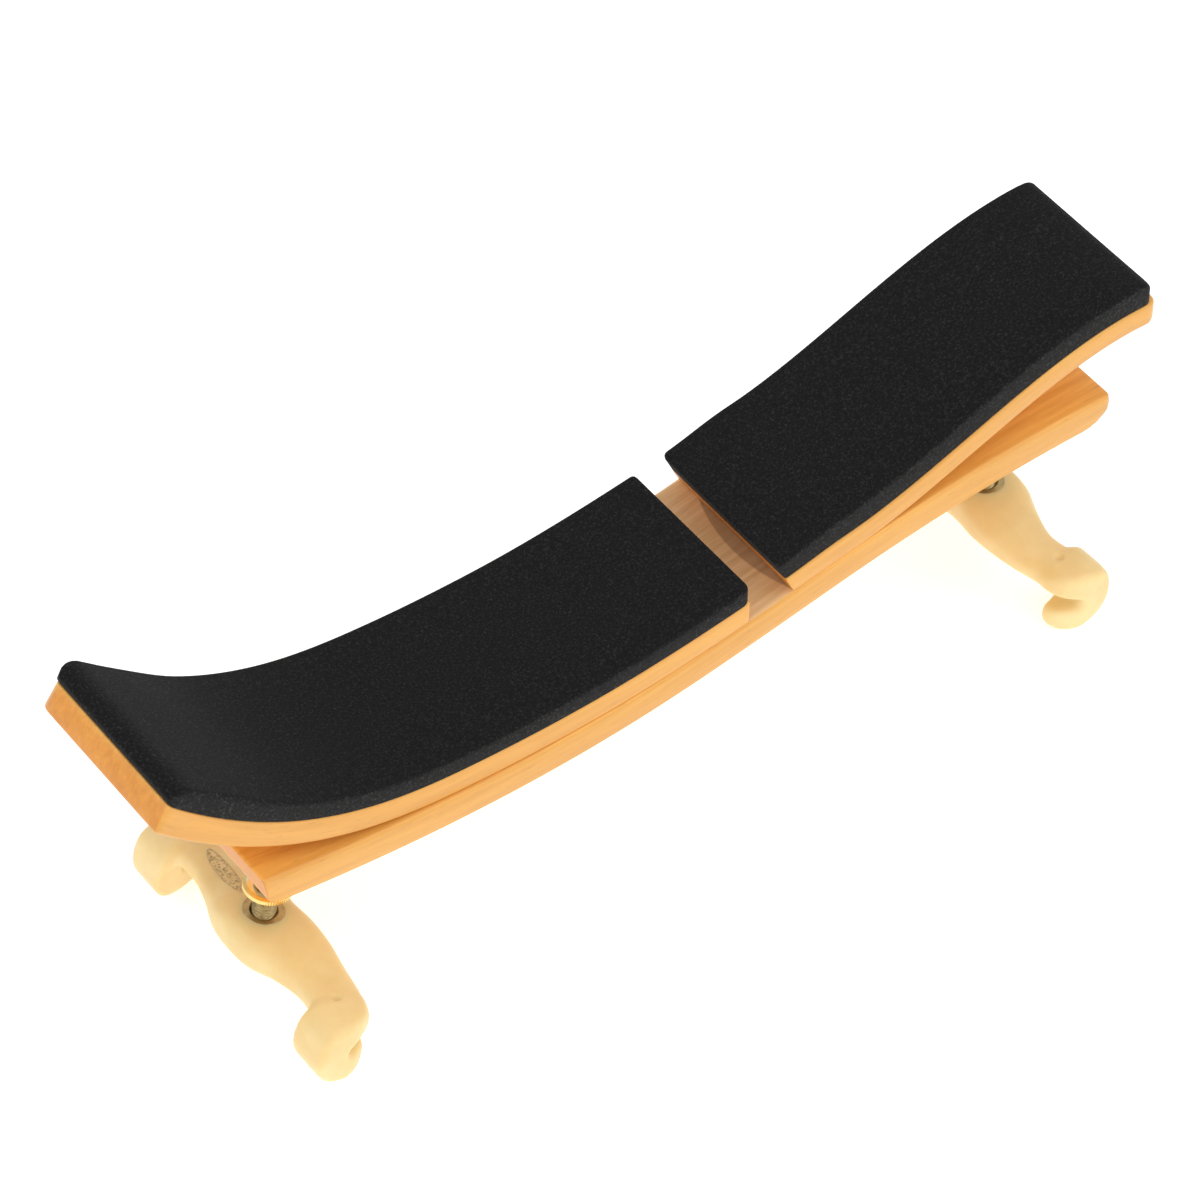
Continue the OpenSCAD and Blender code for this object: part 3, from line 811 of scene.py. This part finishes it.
def blend_max(a, b, k):
    """Intersection of two distance fields, rounded over about k."""
    return -blend_min(-a, -b, k)


def knot_curve(knots, q):
    """Smooth curve through knots [distance, value], level at the hub."""
    knots = np.array(knots, float)
    slopes = np.gradient(knots[:, 1], knots[:, 0])
    slopes[0] = 0
    return hermite(np.column_stack([knots, slopes]), np.clip(q, 0, knots[-1, 0]))


def closed_curve(points, n=5):
    """Smooth closed outline through given points."""
    p = np.array(points, float)
    t = (np.arange(n) / n)[:, None]
    pieces = []
    for i in range(len(p)):
        a, b, d, e = p[i - 1], p[i], p[(i + 1) % len(p)], p[(i + 2) % len(p)]
        pieces.append(0.5 * (2 * b + (d - a) * t + (2 * a - 5 * b + 4 * d - e) * t**2
                             + (3 * b - a - 3 * d + e) * t**3))
    return np.concatenate(pieces)


def outline_distance(outline, x, z):
    """Signed distance to a closed outline, negative inside."""
    best = np.full(np.broadcast(x, z).shape, 1e9)
    inside = np.zeros(best.shape, bool)
    for a, b in zip(outline, np.roll(outline, -1, 0)):
        e, wx, wz = b - a, x - a[0], z - a[1]
        t = np.clip((wx * e[0] + wz * e[1]) / (e @ e), 0, 1)
        best = np.minimum(best, (wx - e[0] * t) ** 2 + (wz - e[1] * t) ** 2)
        crosses = ((a[1] > z) != (b[1] > z)) & (x < e[0] * (z - a[1]) / (e[1] + 1e-12) + a[0])
        inside ^= crosses
    return np.where(inside, -1, 1) * np.sqrt(best)


def fork_field(x, y, z):
    """Signed distance of the rubber fork, without its bore."""
    q = np.abs(y)
    outer, inner, top, low = (knot_curve(k, q) for k in (OUTER, INNER, TOP, LOW))
    cx, a, cz, b = (outer + inner) / 2, (inner - outer) / 2, (top + low) / 2, (top - low) / 2
    spread = np.abs((x - cx) / a) ** ARM_POWER + np.abs((z - cz) / b) ** ARM_POWER
    arm = (spread ** (1 / ARM_POWER) - 1) * np.minimum(a, b)
    # seen from above, the claw narrows towards its open side
    end = CLAW_END - 0.065 * np.maximum(x + 2, 0) ** 2
    start = CLAW_START + 0.27 * (x + 8)
    arm = blend_max(arm, q - np.minimum(ARM_END, end), 2.4)
    arm = blend_max(arm, z, 0.8)
    claw = outline_distance(closed_curve(CLAW), x, z)
    claw = blend_max(claw, np.maximum(q - end, start - q), 1.8)
    dx, dq, dz, r = DIMPLE
    dimple = np.sqrt((x - dx) ** 2 + (q - dq) ** 2 + (z - dz) ** 2) - r
    return blend_max(blend_min(arm, claw, 1.9), -dimple, 0.5)


def surface_net(field, low, high, h):
    """Quads along the zero surface of a field sampled on a grid."""
    n = np.ceil((np.array(high) - low) / h).astype(int) + 1
    axes = [low[k] + h * np.arange(n[k]) for k in range(3)]
    v = field(axes[0][:, None, None], axes[1][None, :, None], axes[2][None, None, :])
    inside = v < 0
    corners = [(i, j, k) for i in (0, 1) for j in (0, 1) for k in (0, 1)]
    cut = lambda a, c: a[c[0]:n[0] - 1 + c[0], c[1]:n[1] - 1 + c[1], c[2]:n[2] - 1 + c[2]]
    count = sum(cut(inside, c).astype(int) for c in corners)
    active = (count > 0) & (count < 8)
    index = np.full(active.shape, -1)
    index[active] = np.arange(active.sum())
    values = np.stack([cut(v, c)[active] for c in corners], 1)
    place, weight = np.zeros((len(values), 3)), np.zeros(len(values))
    for a in range(8):
        for b in range(a + 1, 8):
            step = np.subtract(corners[b], corners[a])
            if np.abs(step).sum() != 1:
                continue
            va, vb = values[:, a], values[:, b]
            crosses = (va < 0) != (vb < 0)
            t = np.where(crosses, va / np.where(crosses, va - vb, 1), 0)
            place += np.where(crosses[:, None], np.array(corners[a]) + t[:, None] * step, 0)
            weight += crosses
    place = (np.argwhere(active) + place / weight[:, None]) * h + np.array(low)
    quads = []
    for axis in range(3):
        u, w = (axis + 1) % 3, (axis + 2) % 3
        before, after = [slice(None)] * 3, [slice(None)] * 3
        before[axis], after[axis] = slice(0, -1), slice(1, None)
        start = inside[tuple(before)]
        edges = np.argwhere(start != inside[tuple(after)])
        keep = (edges[:, u] > 0) & (edges[:, w] > 0) & (edges[:, u] < n[u] - 1) & (edges[:, w] < n[w] - 1)
        edges = edges[keep]
        flip = start[tuple(edges.T)]

        def cell(du, dw):
            e = edges.copy()
            e[:, u] -= du
            e[:, w] -= dw
            return index[tuple(e.T)]
        q = np.stack([cell(1, 1), cell(0, 1), cell(0, 0), cell(1, 0)], 1)
        q[~flip] = q[~flip][:, ::-1]
        quads.append(q)
    return place, np.concatenate(quads)


# an oval of raised dots on one arm: its middle, half length, half width and slant
DOTS, RIM_DOTS = 150, 110
BADGE_X, BADGE_Y, BADGE_LONG, BADGE_WIDE, BADGE_LEAN = 0.1, 13.4, 7.2, 1.6, 0.16


def surface_height(x, y):
    """Height of the fork's upper surface."""
    low, high = np.full_like(x, -6.0), np.full_like(x, 2.0)
    for _ in range(30):
        middle = (low + high) / 2
        inside = fork_field(x, y, middle) < 0
        low, high = np.where(inside, middle, low), np.where(inside, high, middle)
    return (low + high) / 2


def stipple(seed):
    """A plain oval of raised dots with a rim, moulded on one arm of a fork."""
    random = np.random.default_rng(seed)
    spots = []
    while len(spots) < DOTS:
        u, v = random.uniform(-1, 1, 2)
        if u * u + v * v < 0.86:
            spots.append((v * BADGE_WIDE, u * BADGE_LONG, random.uniform(0.13, 0.24)))
    for k in range(RIM_DOTS):
        turn = k / RIM_DOTS * 2 * math.pi
        spots.append((BADGE_WIDE * math.sin(turn), BADGE_LONG * math.cos(turn), 0.17))
    spots = np.array(spots)
    spots[:, 0] += BADGE_X + BADGE_LEAN * spots[:, 1]
    spots[:, 1] += BADGE_Y
    heights = surface_height(spots[:, 0], spots[:, 1])
    dome = [[0, -0.5], [0.9, -0.5], [1, 0], [0.8, 0.45], [0.42, 0.78], [0, 0.9]]
    p, f = revolve(dome, 8)
    return joined([(p * r + [x, y, z], f) for (x, y, r), z in zip(spots, heights)])


FORK_GRID = 0.38
FLOOR_CLEARANCE = 0.04
fork_points, fork_quads = surface_net(fork_field, (-10.5, -35.0, -19.2), (10.5, 35.0, 1.4), FORK_GRID)
HUB_R, HUB_DEPTH = 4.26, 8.8
BORE = revolve([[0, -HUB_DEPTH], [HUB_R, -HUB_DEPTH], [HUB_R, 3], [0, 3]], 96)

for side in SIDES:
    m = fork_frame(side, mirrored=True)
    quads = fork_quads if side == "left" else fork_quads[:, ::-1]
    points = moved(fork_points, m)
    points[:, 2] = np.maximum(points[:, 2], FLOOR_CLEARANCE)
    obj = make_object(side + "_fork_rubber", points, quads, RUBBER, side + "_fork",
                      [side + "_fork_grip"])
    cut_away(obj, [(moved(BORE[0], fork_frame(side)), BORE[1])])
    obj.data.shade_smooth()
    obj.data.set_sharp_from_angle(angle=math.radians(55))
    for node, material in (("fork_core", STEEL), ("bush_cup", BRASS), ("thrust_disc", NYLON)):
        mesh = frame["nodes"][f"{side}_{node}"].data
        mesh.materials.clear()
        mesh.materials.append(material)
    p, f = stipple(5 if side == "left" else 6)
    make_object(side + "_fork_stipple", moved(p, m), f if side == "left" else [q[::-1] for q in f],
                SHADED_STIPPLE, side + "_fork")

# ---------- floor, light and camera ----------

floor_mesh = bpy.data.meshes.new("floor")
FLOOR_HALF = 3.0
floor_mesh.from_pydata([(x * FLOOR_HALF, y * FLOOR_HALF, 0) for x, y in ((-1, -1), (1, -1), (1, 1), (-1, 1))],
                       [], [(0, 1, 2, 3)])
floor = bpy.data.objects.new("floor", floor_mesh)
bpy.context.scene.collection.objects.link(floor)
floor_material, _, _, floor_bsdf = new_material("floor_white")
set_inputs(floor_bsdf, Base_Color=(0.86, 0.86, 0.86, 1), Roughness=0.9,
           Emission_Color=(1, 1, 1, 1), Emission_Strength=0.5)
floor_mesh.materials.append(floor_material)

scene = bpy.context.scene
world = bpy.data.worlds.new("studio")
scene.world = world
world.use_nodes = True
world.node_tree.nodes["Background"].inputs["Color"].default_value = (1, 1, 1, 1)
world.node_tree.nodes["Background"].inputs["Strength"].default_value = 0.62

TARGET = Vector((-5.74, 1.915, 50.0)) * MM


def direction(azimuth, elevation):
    """Unit vector from the object towards a viewer; angles in degrees."""
    az, el = math.radians(azimuth), math.radians(elevation)
    return Vector((math.sin(az) * math.cos(el), -math.cos(az) * math.cos(el), math.sin(el)))


def place_facing(obj, azimuth, elevation, distance):
    """Puts an object in the scene, facing the target from a distance in metres."""
    back = direction(azimuth, elevation)
    obj.location = TARGET + back * distance
    obj.rotation_euler = back.to_track_quat("Z", "Y").to_euler()
    scene.collection.objects.link(obj)


LIGHT_DISTANCE = 1.2


def softbox(name, azimuth, elevation, size, watts):
    """Square area light that faces the object."""
    light = bpy.data.lights.new(name, "AREA")
    light.shape = "SQUARE"
    light.size = size
    light.energy = watts
    place_facing(bpy.data.objects.new(name, light), azimuth, elevation, LIGHT_DISTANCE)


softbox("key", 50, 45, 0.8, 3.0)
softbox("front", -15, 20, 0.9, 2.6)
softbox("left", -95, 30, 0.9, 3.0)
softbox("top", -30, 80, 1.0, 2.0)

CAMERA_AZIMUTH, CAMERA_ELEVATION, CAMERA_DISTANCE, CAMERA_LENS = -37.4, 50.0, 1.0, 150.05
camera_data = bpy.data.cameras.new("camera")
camera_data.lens = CAMERA_LENS
camera_data.sensor_width = 36.0
camera_data.clip_start, camera_data.clip_end = 0.05, 20.0
camera = bpy.data.objects.new("camera", camera_data)
place_facing(camera, CAMERA_AZIMUTH, CAMERA_ELEVATION, CAMERA_DISTANCE)
scene.camera = camera
scene.view_settings.view_transform = "Standard"
